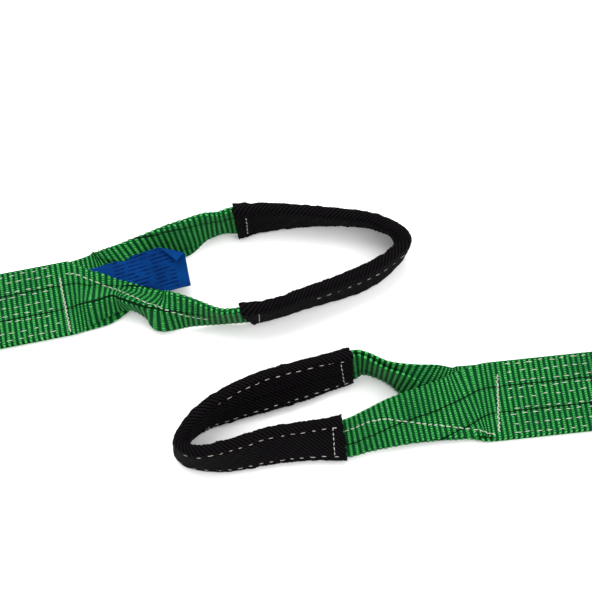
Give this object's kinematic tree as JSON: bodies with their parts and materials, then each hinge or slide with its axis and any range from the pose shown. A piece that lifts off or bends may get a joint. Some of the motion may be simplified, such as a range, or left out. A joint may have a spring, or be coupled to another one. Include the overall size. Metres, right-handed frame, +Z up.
{
  "type": "flat web sling",
  "caption": "Green two-ply flat web lifting sling with black sleeved folded eyes and a blue label, lying in a loop on the ground.",
  "frame": {"origin": "middle of the outline's box, on the surface the sling lies on", "axes": "+X along the long side of the laid-out loop, from the eye with the label's body towards the other, +Y from the front run of the body towards the eyes, +Z up from the surface"},
  "size_m": [0.7326, 0.3862, 0.0351],
  "materials": {
    "webbing": "ribbed woven polyester webbing, slight sheen",
    "sleeve_cloth": "black twill-woven sleeve, matt",
    "thread": "twisted polyester sewing thread",
    "label_cloth": "smooth coated label fabric"
  },
  "bodies": {
    "sling_body": {"body_bottom_ply": "webbing", "body_top_ply": "webbing", "splice_bar_a": "thread", "splice_bar_b": "thread", "body_seam_a_1": "thread", "body_seam_a_2": "thread", "body_seam_a_3": "thread", "body_seam_a_4": "thread", "body_seam_a_5": "thread", "body_seam_a_6": "thread", "body_seam_b_1": "thread", "body_seam_b_2": "thread", "body_seam_b_3": "thread", "body_seam_b_4": "thread", "body_seam_b_5": "thread", "body_seam_b_6": "thread"},
    "eye_a": {"eye_a_near_leg": "webbing", "eye_a_far_leg": "webbing", "eye_a_folded_web": "webbing", "eye_a_sleeve": "sleeve_cloth", "eye_a_sleeve_seam_upper": "thread", "eye_a_sleeve_seam_lower": "thread", "eye_a_sleeve_bar_near": "thread", "eye_a_sleeve_bar_far": "thread", "eye_a_leg_seam": "thread", "label": "label_cloth"},
    "eye_b": {"eye_b_near_leg": "webbing", "eye_b_far_leg": "webbing", "eye_b_folded_web": "webbing", "eye_b_sleeve": "sleeve_cloth", "eye_b_sleeve_seam_upper": "thread", "eye_b_sleeve_seam_lower": "thread", "eye_b_sleeve_bar_near": "thread", "eye_b_sleeve_bar_far": "thread", "eye_b_leg_seam": "thread"},
    "label_end": {"label_free_end": "label_cloth"}
  },
  "joints": [
    {"name": "eye_a_lift", "type": "hinge", "parent": "sling_body", "child": "eye_a", "pos_m": [-0.16154, 0.12474, 0.007], "axis": [0.2113, -0.9774, 0], "range_deg": [0, 150]},
    {"name": "eye_b_lift", "type": "hinge", "parent": "sling_body", "child": "eye_b", "pos_m": [0.13346, 0.03831, 0.007], "axis": [-0.1115, 0.9938, 0], "range_deg": [0, 150]},
    {"name": "label_bend", "type": "hinge", "parent": "eye_a", "child": "label_end", "pos_m": [-0.10371, 0.14109, 0.01572], "axis": [0.2161, -0.8644, -0.454], "range_deg": [0, 60]}
  ]
}
